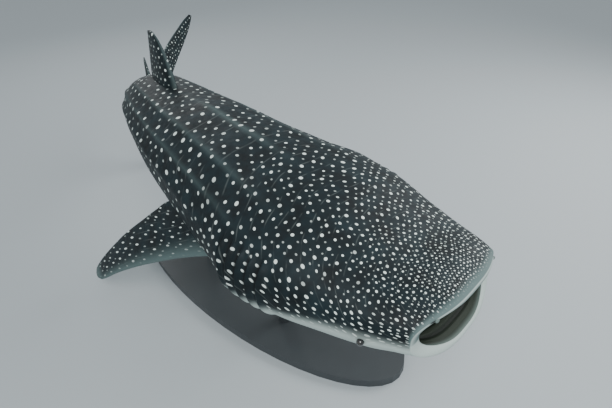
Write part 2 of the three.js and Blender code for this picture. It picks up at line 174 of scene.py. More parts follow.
def gill_step(x):
    """Height of the skin near the slits, from below 0 in a slit to 1 on a flap's edge."""
    last = GILL_START
    for place in GILL_PLACES:
        edge = place - SLIT_HALF
        bed = place + SLIT_HALF
        level = place + SLIT_LEVEL
        if x < edge:
            return smooth((x - last) / (edge - last)) if x > last else 0
        if x < bed:
            return 1 - (1 + SLIT_DEPTH) * (x - edge) / (bed - edge)
        if x < level:
            return -SLIT_DEPTH * (1 - smooth((x - bed) / (level - bed)))
        last = level
    return 0


def gill_reach(degrees):
    """How far up and down the flank the slits run, fading at both ends."""
    side = fold_to_side(degrees)
    return smooth((side + 44) / 18) * smooth((34 - side) / 14)


def body_point(x, degrees):
    """A point of the straight skin. Sections are rounded squares, squarer at the snout."""
    a = math.radians(degrees)
    power = 2 / (2.15 + 0.45 * math.exp(-((x / 0.12) ** 2)))
    c = math.cos(a)
    s = math.sin(a)
    w = half_width(x) * LENGTH
    h = (top_at(x) if s >= 0 else -bottom_at(x)) * LENGTH
    y = math.copysign(abs(c) ** power, c) * w
    z = math.copysign(abs(s) ** power, s) * h
    out = Vector((0, y / (w * w), z / (h * h))).normalized()
    lift = ridge_lift(x, degrees)
    if GILL_START < x < GILL_END:
        lift += FLAP * gill_step(x) * gill_reach(degrees)
    return Vector((x * LENGTH, y, z)) + out * lift


# The mouth's edge curves back to its corners, and the cavity behind it has a domed roof.
MOUTH = {"corner": 0.017, "lip": 0.004, "jaw_lip": 0.003, "cheek": 0.010,
         "wall": 0.012, "throat": 0.108, "palate": 0.008, "jaw": 0.001}


def rim_place(degrees):
    c = abs(math.cos(math.radians(degrees)))
    front = 0 if 0 < degrees < 180 else MOUTH["jaw"]
    return front + (MOUTH["corner"] - front) * c**2.4


def cavity_point(x, degrees, inset):
    outer = body_point(x, degrees)
    w = half_width(x) * LENGTH
    palate = (MOUTH["palate"] + 0.10 * (0.03 - x)) * LENGTH
    edge = top_at(x) * LENGTH - inset
    roof = edge + (palate - edge) * smooth((x - 0.002) / 0.055)
    floor = bottom_at(x) * LENGTH + inset + MOUTH["jaw_lip"] * LENGTH
    if outer.z >= 0:
        z = outer.z / (top_at(x) * LENGTH) * roof
    else:
        z = outer.z / (bottom_at(x) * LENGTH) * floor
    return Vector((outer.x, outer.y * (w - inset - MOUTH["cheek"] * LENGTH) / w, z))


def lip_point(turn, degrees):
    """A point round the lip, with turn 0 on the outer skin and 1 on the lining."""
    rim = rim_place(degrees) + 0.5 * MOUTH["lip"]
    outer = body_point(rim, degrees)
    inner = cavity_point(rim, degrees, MOUTH["lip"] * LENGTH)
    middle = (outer + inner) / 2
    point = middle + (outer - inner) / 2 * math.cos(math.pi * turn)
    point.x -= 0.5 * MOUTH["lip"] * LENGTH * math.sin(math.pi * turn)
    return point


EYE = {"place": 0.058, "height": -0.012, "radius": 0.022, "ring": 0.062, "swell": 0.020}
SPIRACLE = {"place": 0.074, "height": -0.004, "radius": 0.020, "depth": 0.014}
NOSTRIL = {"angle": 42, "radius": 0.012, "barbel": 0.011}


def eye_lift(point):
    """Low ring of skin round the eye and the small pit of the spiracle behind it."""
    w = half_width(EYE["place"]) * LENGTH
    eye = Vector((EYE["place"] * LENGTH, w, EYE["height"] * LENGTH))
    pit = Vector((SPIRACLE["place"] * LENGTH, w, SPIRACLE["height"] * LENGTH))
    near = Vector((point.x, abs(point.y), point.z))
    d = (near - eye).length / EYE["ring"]
    p = (near - pit).length / SPIRACLE["radius"]
    ring = EYE["swell"] * (math.exp(-(d**2) * 1.6) - math.exp(-((d * 2.6) ** 4)))
    return ring - SPIRACLE["depth"] * math.exp(-(p**4))


def nostril_depth(point):
    """How far into a nostril's pit a point of the lip lies, from 0 to 1."""
    pit = lip_point(0.12, NOSTRIL["angle"])
    away = Vector((point.x - pit.x, (abs(point.y) - pit.y) / 2.2, point.z - pit.z))
    return math.exp(-((away.length / NOSTRIL["radius"] / 1.1) ** 4))


# Spots run from pinheads on the snout to hand-wide spacings on the trunk, in metres.
SPOT_GROWTH = 0.060
SPOT_SNOUT = 0.018
SPOT_TRUNK = 0.135
SPOT_STEPS = 1000


def spot_spacing(x):
    """Metres between spots: it grows steadily over the head, then levels off."""
    grown = SPOT_SNOUT + SPOT_GROWTH * x * LENGTH
    if grown < 0.9 * SPOT_TRUNK:
        return grown
    levelled = SPOT_TRUNK * (1 - 0.1 * math.exp(-(grown / SPOT_TRUNK - 0.9) * 10))
    return min(grown, levelled)


spot_run = [0.0]
for step in range(SPOT_STEPS):
    x = (step + 0.5) / SPOT_STEPS
    spot_run.append(spot_run[-1] + LENGTH / SPOT_STEPS / spot_spacing(x))


def spot_place(x, arc):
    """Place of a skin point counted in spot spacings, along and across."""
    at = min(max(x, 0), 1) * SPOT_STEPS
    i = min(int(at), SPOT_STEPS - 1)
    u = spot_run[i] + (spot_run[i + 1] - spot_run[i]) * (at - i)
    spacing = spot_spacing(x)
    growth = (spot_spacing(x + 0.005) - spot_spacing(x - 0.005)) / (0.01 * LENGTH)
    if growth > 1e-4:
        along = u + growth * arc * arc / (2 * spacing * spacing)
        return along, math.atan(arc * growth / spacing) / growth
    return u, arc / spacing


AROUND = 192
LIP_ROWS = 8
HEAD_ROWS = 64
GILL_ROWS = 90
TRUNK_ROWS = 140
body_rows = [("lip", 1 - k / LIP_ROWS) for k in range(LIP_ROWS)]
body_rows += [("skin", GILL_START * (k / HEAD_ROWS) ** 1.15) for k in range(HEAD_ROWS)]
body_rows += [("skin", GILL_START + (GILL_END - GILL_START) * k / GILL_ROWS) for k in range(GILL_ROWS)]
body_rows += [("skin", GILL_END + (BODY_END - GILL_END) * k / TRUNK_ROWS) for k in range(TRUNK_ROWS + 1)]


def around_angle(i, across):
    """Degrees round the section, starting and ending under the belly."""
    return (i / across * 360 - 90) % 360


def row_place(q, degrees):
    """Share of the length for a row: behind the head it is the row's own place."""
    if q >= GILL_START:
        return q
    rim = rim_place(degrees) + 0.5 * MOUTH["lip"]
    return rim + (GILL_START - rim) * q / GILL_START


def body_place(i, j):
    degrees = around_angle(i, AROUND)
    kind, q = body_rows[j]
    if kind == "lip":
        point = lip_point(q, degrees)
        point += 0.9 * NOSTRIL["radius"] * nostril_depth(point) * Vector((0.6, 0, -0.8))
    else:
        x = row_place(q, degrees)
        point = body_point(x, degrees)
        if x < 0.1:
            point.y += math.copysign(eye_lift(point), point.y)
    return pose(*point)


ARC_STEP = 3
ARC_STEPS = 180 // ARC_STEP
arc_runs = {}


def arc_from_back(x, degrees):
    """Length of skin from the middle of the back round to an angle, plus on the left."""
    key = round(x, 4)
    if key not in arc_runs:
        run = [0.0]
        last = body_point(key, 90)
        for k in range(1, ARC_STEPS + 1):
            here = body_point(key, 90 - ARC_STEP * k)
            run.append(run[-1] + (here - last).length)
            last = here
        arc_runs[key] = run
    run = arc_runs[key]
    turn = 90 - degrees if degrees <= 270 else 450 - degrees
    at = min(abs(turn) / ARC_STEP, ARC_STEPS - 0.001)
    k = int(at)
    return math.copysign(run[k] + (run[k + 1] - run[k]) * (at - k), turn)


def body_cells(i, j):
    degrees = around_angle(i, AROUND)
    kind, q = body_rows[j]
    x = rim_place(degrees) if kind == "lip" else row_place(q, degrees)
    if i == 0:
        degrees = 270.0
    if i == AROUND:
        degrees = 270.0001
    return spot_place(x, arc_from_back(x, degrees))


# Painted highlight along the ridge tops, in place of light catching them: strength on the mid-back and on
# the flanks, and width in degrees.
MIDLINE_HIGHLIGHT = 0.42
FLANK_HIGHLIGHT = 0.26
HIGHLIGHT_WIDTH = 2.2


def ridge_highlight(x, side):
    """Painted highlight along the tops of the three upper ridges, standing in for light catching them."""
    tone = 0.0
    for angle, start, end, _ in RIDGES[:3]:
        along = smooth((x - start) / 0.14) * smooth((end - x) / 0.10)
        strength = MIDLINE_HIGHLIGHT if angle == 90 else FLANK_HIGHLIGHT
        tone = max(tone, strength * along * math.exp(-(((side - angle) / HIGHLIGHT_WIDTH) ** 2)))
    return tone


def body_marks(i, j):
    """White belly, grey skin with painted ridge highlight, painted shade in slits and nostril pits, and
    crowded spots, each from 0 to 1.
    """
    degrees = around_angle(i, AROUND)
    kind, q = body_rows[j]
    side = fold_to_side(degrees)
    x = rim_place(degrees) if kind == "lip" else row_place(q, degrees)

    # The white reaches nearly to the eye on the head, stays low on the trunk, and ends
    # before the tail.
    edge = -4 - 16 * smooth((x - 0.04) / 0.2) + 8 * smooth((x - 0.5) / 0.3)
    belly = smooth((edge - side) / 14 + 0.5) * smooth((0.80 - x) / 0.10)

    # A grey band runs above the upper lip, widest in the middle.
    grey_and_ridge_highlight = 0.0
    if side > -2 and x < 0.06:
        band = 0.003 + 0.006 * math.sin(math.radians(max(side, 0)))
        grey_and_ridge_highlight = smooth(1.4 - (x - rim_place(degrees)) / band)

    # Painted shade: the gill slits and nostril pits are darkened toward near black, where shade falls in
    # them.
    slit_shade = 0.0
    if kind == "lip":
        belly = 1.0 if side < 0 else 0.75 * smooth(1.2 - 2 * q)
        grey_and_ridge_highlight = 1.0
        slit_shade = nostril_depth(lip_point(q, degrees))
    else:
        grey_and_ridge_highlight = max(grey_and_ridge_highlight, ridge_highlight(x, side))
    if GILL_START < x < GILL_END:
        slit_shade = smooth(-gill_step(x) * 1.6) * gill_reach(degrees)

    # Spots crowd together on the gill flank and above the eye.
    flank = smooth((50 - side) / 28) * smooth((x - 0.09) / 0.05) * smooth((0.31 - x) / 0.07)
    cheek = math.exp(-(((x - 0.052) / 0.034) ** 2)) * math.exp(-(((side - 8) / 20) ** 2))
    return (belly, grey_and_ridge_highlight, slit_shade, max(flank, cheek))


def cast_piece(name, bm):
    """A finished bmesh as a smooth-shaded piece of the scene."""
    mesh = bpy.data.meshes.new(name)
    bm.to_mesh(mesh)
    bm.free()
    for polygon in mesh.polygons:
        polygon.use_smooth = True
    piece = bpy.data.objects.new(name, mesh)
    bpy.context.collection.objects.link(piece)
    return piece


def wrap_grid(name, across, along, place, cells, marks, inward=False):
    """A grid sheet laid over a form. place, cells and marks take the two counts of a vertex."""
    bm = bmesh.new()
    bmesh.ops.create_grid(bm, x_segments=across, y_segments=along, size=1)
    uv = bm.loops.layers.uv.new("skin_place")
    tone = bm.verts.layers.float_vector.new("skin_marks")
    dense = bm.verts.layers.float.new("skin_dense")
    counts = {}
    for v in bm.verts:
        i = round((v.co.x + 1) / 2 * across)
        j = round((v.co.y + 1) / 2 * along)
        counts[v] = (i, j)
    for face in bm.faces:
        for loop in face.loops:
            loop[uv].uv = cells(*counts[loop.vert])
    for v in bm.verts:
        *v[tone], v[dense] = marks(*counts[v])
        v.co = place(*counts[v])
    bmesh.ops.remove_doubles(bm, verts=bm.verts, dist=1e-5)
    bmesh.ops.recalc_face_normals(bm, faces=bm.faces)
    if inward:
        bmesh.ops.reverse_faces(bm, faces=bm.faces)
    return cast_piece(name, bm)


body_skin = wrap_grid("body_skin", AROUND, len(body_rows) - 1, body_place, body_cells, body_marks)


def hex_colour(code):
    """An sRGB hex value as the linear colour that a shader takes."""
    parts = [int(code[k:k + 2], 16) / 255 for k in (1, 3, 5)]
    linear = [p / 12.92 if p <= 0.04045 else ((p + 0.055) / 1.055) ** 2.4 for p in parts]
    return (*linear, 1.0)


def fill_sockets(tree, node, **links):
    """Feeds a node's inputs, named or as i and a number, with sockets or plain values."""
    for key, value in links.items():
        numbered = key[0] == "i" and key[1:].isdigit()
        socket = node.inputs[int(key[1:])] if numbered else node.inputs[key.replace("_", " ")]
        if isinstance(value, bpy.types.NodeSocket):
            tree.links.new(value, socket)
        else:
            socket.default_value = value


def add_node(tree, kind, settings=None, **links):
    """A new node: settings holds its own values, and links feed its inputs."""
    node = tree.nodes.new(kind)
    for key, value in (settings or {}).items():
        setattr(node, key, value)
    fill_sockets(tree, node, **links)
    return node


def new_finish(name):
    """A new material with its node tree and its shader."""
    material = bpy.data.materials.new(name)
    material.use_nodes = True
    return material, material.node_tree, material.node_tree.nodes["Principled BSDF"]


# Radius of a spot as a share of the spacing, and the paint on the dimmer ones between.
SPOT_RADIUS = 0.136
DIM_SPOT = 0.40
LINE_TONE = 0.06


def painted_sharkskin(name, back, deep, spot, belly):
    material, tree, shader = new_finish(name)
    place = add_node(tree, "ShaderNodeUVMap", {"uv_map": "skin_place"}).outputs[0]
    marks = add_node(tree, "ShaderNodeAttribute", {"attribute_name": "skin_marks"})
    split = add_node(tree, "ShaderNodeSeparateXYZ", i0=marks.outputs["Vector"]).outputs
    solid = add_node(tree, "ShaderNodeTexCoord").outputs["Object"]

    # Each spot sits in its own cell, a little out of line and of its own size.
    wobble = add_node(tree, "ShaderNodeTexNoise", {"noise_dimensions": "2D"},
                      Vector=place, Scale=0.30, Detail=0.0)
    shift = add_node(tree, "ShaderNodeVectorMath", {"operation": "SUBTRACT"},
                     i0=wobble.outputs["Color"], i1=(0.5, 0.5, 0.5))
    small = add_node(tree, "ShaderNodeVectorMath", {"operation": "SCALE"},
                     i0=shift.outputs[0], Scale=0.8)
    moved = add_node(tree, "ShaderNodeVectorMath", {"operation": "ADD"},
                     i0=place, i1=small.outputs[0]).outputs[0]
    cells = add_node(tree, "ShaderNodeTexVoronoi", {"voronoi_dimensions": "2D"},
                     Vector=moved, Scale=1.0, Randomness=0.26)
    pick = add_node(tree, "ShaderNodeSeparateColor", i0=cells.outputs["Color"]).outputs
    run = add_node(tree, "ShaderNodeSeparateXYZ", i0=moved).outputs
    radius = add_node(tree, "ShaderNodeMapRange",
                      i0=pick[0], i1=0.0, i2=1.0, i3=SPOT_RADIUS * 0.78, i4=SPOT_RADIUS * 1.12)
    crowd = add_node(tree, "ShaderNodeMapRange", i0=run[0], i1=4.0, i2=30.0, i3=1.62, i4=1.0)
    radius = add_node(tree, "ShaderNodeMath", {"operation": "MULTIPLY"},
                      i0=radius.outputs[0], i1=crowd.outputs[0])
    inner = add_node(tree, "ShaderNodeMath", {"operation": "SUBTRACT"},
                     i0=radius.outputs[0], i1=0.045)
    spots = add_node(tree, "ShaderNodeMapRange", {"interpolation_type": "SMOOTHSTEP"},
                     i0=cells.outputs["Distance"], i1=inner.outputs[0], i2=radius.outputs[0],
                     i3=1.0, i4=0.0)
    bright = add_node(tree, "ShaderNodeMapRange", i0=pick[1], i1=0.0, i2=0.35, i3=0.45, i4=1.0)
    spots = add_node(tree, "ShaderNodeMath", {"operation": "MULTIPLY"},
                     i0=spots.outputs[0], i1=bright.outputs[0])

    # A smaller, dimmer spot lies between each four, and a bright one where spots crowd.
    between = add_node(tree, "ShaderNodeVectorMath", {"operation": "ADD"},
                       i0=moved, i1=(0.53, 0.53, 0.0)).outputs[0]
    specks = add_node(tree, "ShaderNodeTexVoronoi", {"voronoi_dimensions": "2D"},
                      Vector=between, Scale=1.0, Randomness=0.34)
    dense = add_node(tree, "ShaderNodeAttribute", {"attribute_name": "skin_dense"}).outputs["Fac"]
    height = add_node(tree, "ShaderNodeMapRange", i0=dense, i1=0.0, i2=1.0, i3=DIM_SPOT, i4=0.9)
    reach = add_node(tree, "ShaderNodeMapRange",
                     i0=dense, i1=0.0, i2=1.0, i3=SPOT_RADIUS * 0.78, i4=SPOT_RADIUS * 1.05)
    start = add_node(tree, "ShaderNodeMath", {"operation": "MULTIPLY"},
                     i0=reach.outputs[0], i1=0.55)
    speck = add_node(tree, "ShaderNodeMapRange", {"interpolation_type": "SMOOTHSTEP"},
                     i0=specks.outputs["Distance"], i1=start.outputs[0], i2=reach.outputs[0],
                     i3=height.outputs[0], i4=0.0)

    # Thin broken lines cross the back between the columns of spots.
    offset = add_node(tree, "ShaderNodeMath", {"operation": "ADD"}, i0=run[0], i1=0.61)
    wave = add_node(tree, "ShaderNodeMath", {"operation": "PINGPONG"},
                    i0=offset.outputs[0], i1=0.5)
    line = add_node(tree, "ShaderNodeMapRange", {"interpolation_type": "SMOOTHSTEP"},
                    i0=wave.outputs[0], i1=0.0, i2=0.08, i3=1.0, i4=0.0)
    patch = add_node(tree, "ShaderNodeTexNoise", {"noise_dimensions": "2D"},
                     Vector=place, Scale=0.9, Detail=2.0)
    shown = add_node(tree, "ShaderNodeMapRange",
                     i0=patch.outputs[0], i1=0.45, i2=0.65, i3=0.0, i4=LINE_TONE)
    line = add_node(tree, "ShaderNodeMath", {"operation": "MULTIPLY"},
                    i0=line.outputs[0], i1=shown.outputs[0])

    # White and grey skin, with the painted highlight on the ridges, is kept nearly free of spots.
    light = add_node(tree, "ShaderNodeMath", {"operation": "MAXIMUM"},
                     i0=spots.outputs[0], i1=speck.outputs[0])
    light = add_node(tree, "ShaderNodeMath", {"operation": "MAXIMUM"},
                     i0=light.outputs[0], i1=line.outputs[0])
    bare = add_node(tree, "ShaderNodeMath", {"operation": "MULTIPLY_ADD"},
                    i0=split[0], i1=0.85, i2=split[1])
    clear = add_node(tree, "ShaderNodeMath", {"operation": "SUBTRACT", "use_clamp": True},
                     i0=1.0, i1=bare.outputs[0])
    light = add_node(tree, "ShaderNodeMath", {"operation": "MULTIPLY", "use_clamp": True},
                     i0=light.outputs[0], i1=clear.outputs[0])

    # The dark back is mottled at the size of a hand.
    cloud = add_node(tree, "ShaderNodeTexNoise", Vector=solid, Scale=7.0, Detail=5.0, Roughness=0.62)
    tone = add_node(tree, "ShaderNodeMapRange", i0=cloud.outputs[0], i1=0.35, i2=0.68, i3=0.0, i4=1.0)
    dark = add_node(tree, "ShaderNodeMix", {"data_type": "RGBA"},
                    i0=tone.outputs[0], i6=hex_colour(deep), i7=hex_colour(back))
    # The grey is the spot-free skin of the lips and fin edges, plus the painted highlight along the ridge
    # tops.
    grey_with_highlight = add_node(tree, "ShaderNodeMix", {"data_type": "RGBA"},
                     i0=split[1], i6=dark.outputs[2], i7=hex_colour("#5c6f6e"))
    white = add_node(tree, "ShaderNodeMix", {"data_type": "RGBA"},
                     i0=split[0], i6=grey_with_highlight.outputs[2], i7=hex_colour(belly))
    dotted = add_node(tree, "ShaderNodeMix", {"data_type": "RGBA"},
                      i0=light.outputs[0], i6=white.outputs[2], i7=hex_colour(spot))
    # Painted shade darkens the gill slits and nostril pits to near black.
    shaded_slits = add_node(tree, "ShaderNodeMix", {"data_type": "RGBA"},
                       i0=split[2], i6=dotted.outputs[2], i7=hex_colour("#0c1012"))

    # Skin teeth give sharkskin a fine grain, drawn at 4 mm so that it shows.
    tooth = add_node(tree, "ShaderNodeTexNoise", Vector=solid, Scale=240.0, Detail=2.0)
    soft = add_node(tree, "ShaderNodeTexNoise", Vector=solid, Scale=26.0, Detail=4.0)
    heights = add_node(tree, "ShaderNodeMath", {"operation": "MULTIPLY_ADD"},
                       i0=tooth.outputs[0], i1=0.25, i2=soft.outputs[0])
    bump = add_node(tree, "ShaderNodeBump", Strength=0.35, Distance=0.004, Height=heights.outputs[0])
    gloss = add_node(tree, "ShaderNodeMapRange", i0=soft.outputs[0], i1=0.3, i2=0.7, i3=0.50, i4=0.64)
    fill_sockets(tree, shader, Base_Color=shaded_slits.outputs[2], Normal=bump.outputs[0],
                 Roughness=gloss.outputs[0], IOR=1.45, Specular_IOR_Level=0.28)
    return material


back_skin = painted_sharkskin("painted_sharkskin", back="#15252a", deep="#0a1215",
                              spot="#e2ede7", belly="#b8c6c1")
body_skin.data.materials.append(back_skin)
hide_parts("head", "lower_jaw", "gills",
            "trunk_front", "trunk_middle", "trunk_rear", "tail_stock")
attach(body_skin, "root")


# The nasal barbels: a short blunt feeler below each nostril, cast in one with the upper lip
# and painted grey as the lip is.
BARBEL_SHAPE = (0.8, 1.5, 0.9)
for side, label in ((1, "left"), (-1, "right")):
    angle = NOSTRIL["angle"] if side > 0 else 180 - NOSTRIL["angle"]
    bm = bmesh.new()
    bmesh.ops.create_uvsphere(bm, u_segments=32, v_segments=20, radius=NOSTRIL["barbel"])
    bmesh.ops.scale(bm, verts=bm.verts, vec=BARBEL_SHAPE)
    bmesh.ops.translate(bm, verts=bm.verts, vec=lip_point(0.40, angle))
    for v in bm.verts:
        v.co = pose(*v.co)
    bmesh.ops.recalc_face_normals(bm, faces=bm.faces)
    barbel = cast_piece(f"nasal_barbel_{label}", bm)
    lip_skin, tree, shader = new_finish(f"painted_lip_{label}")
    fill_sockets(tree, shader, Base_Color=hex_colour("#5f6f6b"), Roughness=0.5)
    barbel.data.materials.append(lip_skin)
    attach(barbel, "root")


# The lining of the mouth: soft olive-grey skin over the palate, cheeks and floor, closed at
# the throat by a cap, with faint bands round it for the filter pads. It is cast in one with the head.
# Toward the throat and on the cap it is painted near black as shade.
LINING_ROWS = 40
lining_rows = [("in", 0.02 + 0.98 * k / LINING_ROWS) for k in range(LINING_ROWS + 1)]
lining_rows += [("end", 0.5), ("end", 0.0)]
THROAT_HEIGHT = -0.024 * LENGTH


def lining_place(i, j):
    degrees = around_angle(i, AROUND)
    kind, q = lining_rows[j]
    share = 1.0 if kind == "end" else q
    if j == 0:
        share = 0.0
    rim = rim_place(degrees) + 0.5 * MOUTH["lip"]
    x = rim + (MOUTH["throat"] - rim) * share
    inset = (MOUTH["lip"] + (MOUTH["wall"] - MOUTH["lip"]) * smooth(share * 4)) * LENGTH
    point = cavity_point(x, degrees, inset)
    if kind == "end":
        middle = Vector((x * LENGTH, 0, THROAT_HEIGHT))
        point = middle.lerp(point, q)
    return pose(*point)


def lining_cells(i, j):
    return (i / AROUND * 48, j / 4)


def lining_marks(i, j):
    kind, q = lining_rows[j]
    depth = 1.0 if kind == "end" else q
    return (depth, 0, 0, 0)


mouth_lining = wrap_grid("mouth_lining", AROUND, len(lining_rows) - 1,
                         lining_place, lining_cells, lining_marks, inward=True)

gum, tree, shader = new_finish("soft_mouth_skin")
place = add_node(tree, "ShaderNodeUVMap", {"uv_map": "skin_place"}).outputs[0]
marks = add_node(tree, "ShaderNodeAttribute", {"attribute_name": "skin_marks"})
depth = add_node(tree, "ShaderNodeSeparateXYZ", i0=marks.outputs["Vector"]).outputs[0]
run = add_node(tree, "ShaderNodeSeparateXYZ", i0=place).outputs[1]
band = add_node(tree, "ShaderNodeMath", {"operation": "PINGPONG"}, i0=run, i1=0.5)
ribs = add_node(tree, "ShaderNodeMapRange", {"interpolation_type": "SMOOTHSTEP"},
                i0=band.outputs[0], i1=0.05, i2=0.35, i3=0.0, i4=1.0)
ribbed = add_node(tree, "ShaderNodeMix", {"data_type": "RGBA"},
                  i0=ribs.outputs[0], i6=hex_colour("#141b15"), i7=hex_colour("#232c22"))
inside = add_node(tree, "ShaderNodeMapRange", {"interpolation_type": "SMOOTHSTEP"},
                  i0=depth, i1=0.01, i2=0.05, i3=0.0, i4=1.0)
mixed = add_node(tree, "ShaderNodeMix", {"data_type": "RGBA"},
                 i0=inside.outputs[0], i6=hex_colour("#66766f"), i7=ribbed.outputs[2])
# Painted shade: deep in the mouth and on the cap at the throat the lining darkens to near black.
deep = add_node(tree, "ShaderNodeMapRange", i0=depth, i1=0.5, i2=1.0, i3=0.0, i4=0.8)
throat_shaded = add_node(tree, "ShaderNodeMix", {"data_type": "RGBA"},
                 i0=deep.outputs[0], i6=mixed.outputs[2], i7=hex_colour("#0d1211"))
bump = add_node(tree, "ShaderNodeBump", Strength=0.5, Distance=0.012, Height=ribs.outputs[0])
fill_sockets(tree, shader, Base_Color=throat_shaded.outputs[2], Normal=bump.outputs[0],
             Roughness=0.55, Specular_IOR_Level=0.25)
mouth_lining.data.materials.append(gum)
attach(mouth_lining, "root")


# The fins: stiff wings of the same sharkskin over rays of cartilage, with a round front edge
# and a thin back edge. Each is cast in one with the body, and its root runs on inside it.
# Each row is its height on the fin, front edge, back edge and thickness, in shares of LENGTH.
FIRST_DORSAL_ROWS = [
    (-0.020, -0.006, 0.100, 0.022),
    (0.004, 0.000, 0.110, 0.018),
    (0.022, 0.006, 0.100, 0.015),
    (0.044, 0.016, 0.085, 0.011),
    (0.062, 0.030, 0.075, 0.007),
    (0.070, 0.041, 0.071, 0.005),
    (0.0735, 0.048, 0.070, 0.004),
    (0.075, 0.056, 0.065, 0.002),
]
SECOND_DORSAL_ROWS = [
    (-0.012, -0.004, 0.046, 0.010),
    (0.002, 0.001, 0.058, 0.008),
    (0.013, 0.013, 0.046, 0.006),
    (0.028, 0.029, 0.045, 0.004),
    (0.036, 0.040, 0.047, 0.002),
]
PELVIC_ROWS = [
    (-0.014, -0.002, 0.050, 0.012),
    (0.006, 0.006, 0.062, 0.009),
    (0.024, 0.019, 0.055, 0.006),
    (0.044, 0.036, 0.055, 0.004),
    (0.052, 0.046, 0.055, 0.002),
]
PECTORAL_ROWS = [
    (-0.028, -0.034, 0.092, 0.026),
    (0.006, -0.026, 0.108, 0.022),
    (0.030, -0.014, 0.095, 0.018),
    (0.055, -0.009, 0.081, 0.014),
    (0.090, -0.007, 0.065, 0.011),
    (0.120, -0.006, 0.052, 0.008),
    (0.150, -0.004, 0.042, 0.006),
    (0.166, 0.001, 0.036, 0.004),
    (0.171, 0.010, 0.028, 0.003),
]
CAUDAL_ROWS = [
    (-0.112, 0.905, 0.917, 0.003),
    (-0.095, 0.886, 0.918, 0.005),
    (-0.070, 0.862, 0.908, 0.008),
    (-0.045, 0.839, 0.893, 0.012),
    (-0.022, 0.808, 0.883, 0.017),
    (0.000, 0.800, 0.880, 0.021),
    (0.026, 0.800, 0.885, 0.021),
    (0.050, 0.817, 0.897, 0.017),
    (0.085, 0.848, 0.919, 0.013),
    (0.130, 0.888, 0.946, 0.009),
    (0.175, 0.928, 0.970, 0.006),
    (0.210, 0.958, 0.984, 0.004),
    (0.226, 0.975, 0.987, 0.002),
]
CHORD = 26
SPAN = 72


def fin_skin(name, node, root, along, reach, rows, spacing, start, marks, two_tips=False):
    """A fin over its CAD node. It runs along its chord from root and out by reach(s).

    spacing and start set the gap in metres between its spots and where they begin.
    """
    front = curve(rows, 1)
    rear = curve(rows, 2)
    thick = curve(rows, 3)
    first = rows[0][0]
    last = rows[-1][0]

    def parts(i, j):
        turn = j / SPAN
        if two_tips:
            run = math.sin((turn - 0.5) * math.pi) * 0.5 + 0.5
        else:
            run = math.sin(turn * math.pi / 2)
        share = i / CHORD if i <= CHORD else 2 - i / CHORD
        sign = 1 if i <= CHORD else -1
        return first + (last - first) * run, share, sign

    def chord_place(s, share):
        """Share of the chord, eased toward its edges, and the metres back to it."""
        eased = (1 - math.cos(math.pi * share)) / 2
        return eased, (front(s) + (rear(s) - front(s)) * eased) * LENGTH

    def place(i, j):
        s, share, sign = parts(i, j)
        eased, length = chord_place(s, share)
        half = thick(s) * LENGTH / 2
        if j == SPAN or (two_tips and j == 0):
            half = 0
        bulge = half * max(math.sin(math.pi * eased**0.6), 0) ** 0.8
        step = (reach(s + 0.001) - reach(s - 0.001)).normalized()
        side = along.cross(step).normalized()
        return pose(*(root + along * length + reach(s) * LENGTH + side * sign * bulge))

    def cells(i, j):
        s, share, sign = parts(i, j)
        _, length = chord_place(s, share)
        return (length / spacing + start + (20 if sign < 0 else 0), s * LENGTH / spacing + start)

    def tones(i, j):
        s, share, sign = parts(i, j)
        return marks((s - first) / (last - first), share, sign)

    fin = wrap_grid(name, 2 * CHORD, SPAN, place, cells, tones)
    fin.data.materials.append(back_skin)
    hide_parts(node)
    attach(fin, "root")
    return fin


def dark_fin(s, share, sign):
    """Dark on both sides, with a thin greyer front edge."""
    return (0.0, 0.35 * smooth(1 - share * 7), 0.0, 0.0)


def upright_reach(sign):
    return lambda s: Vector((0, 0, sign * s))


def edge_root(x, height):
    return Vector((x * LENGTH, 0, height(x) * LENGTH))


fin_skin("dorsal_first_skin", "dorsal_first",
         root=edge_root(0.490, top_at), along=Vector((1, 0, -0.13)).normalized(),
         reach=upright_reach(1), rows=FIRST_DORSAL_ROWS,
         spacing=0.085, start=43.3, marks=dark_fin)
fin_skin("dorsal_second_skin", "dorsal_second",
         root=edge_root(0.650, top_at), along=Vector((1, 0, -0.16)).normalized(),
         reach=upright_reach(1), rows=SECOND_DORSAL_ROWS,
         spacing=0.075, start=48.1, marks=dark_fin)
fin_skin("anal_fin_skin", "anal_fin",
         root=edge_root(0.668, bottom_at), along=Vector((1, 0, 0.11)).normalized(),
         reach=upright_reach(-1), rows=SECOND_DORSAL_ROWS,
         spacing=0.075, start=52.7, marks=dark_fin)


def side_reach(side, droop, sweep=0.0, curl=0.0):
    """Span of a paired fin: outward and down by droop degrees, swept back and curled."""
    c = math.cos(math.radians(droop))
    d = math.sin(math.radians(droop))
    return lambda s: Vector((sweep * s, side * c * s, -d * s - curl * s * abs(s) * 3))


for side, label in ((1, "left"), (-1, "right")):
    def paired_marks(s, share, sign, side=side):
        """White below. Above, dark with a wide grey front edge and tip."""
        if sign == -side:
            return (smooth(share * 5) * smooth((1 - share) * 7) * 0.9, 0.4, 0.0, 0.0)
        edge = smooth(1.15 - share * 2.5)
        tip = 0.8 * smooth((s - 0.90) / 0.08)
        return (0.0, max(edge, tip) * 0.95, 0.0, 0.0)

    fin_skin(f"pectoral_{label}_skin", f"pectoral_{label}",
             root=Vector((0.250, side * 0.080, -0.014)) * LENGTH, along=Vector((1, 0, 0)),
             reach=side_reach(side, droop=54, sweep=1.37, curl=0.63), rows=PECTORAL_ROWS,
             spacing=0.094, start=61.0 + side, marks=paired_marks)
    fin_skin(f"pelvic_{label}_skin", f"pelvic_{label}",
             root=Vector((0.545, side * 0.024, -0.026)) * LENGTH, along=Vector((1, 0, 0)),
             reach=side_reach(side, droop=66), rows=PELVIC_ROWS,
             spacing=0.070, start=71.0 + side, marks=paired_marks)


tail_fin = fin_skin("caudal_fin_skin", "caudal_upper",
                    root=Vector((0, 0, 0)), along=Vector((1, 0, 0)),
                    reach=upright_reach(1), rows=CAUDAL_ROWS,
                    spacing=0.080, start=81.0, marks=dark_fin, two_tips=True)
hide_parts("caudal_lower")


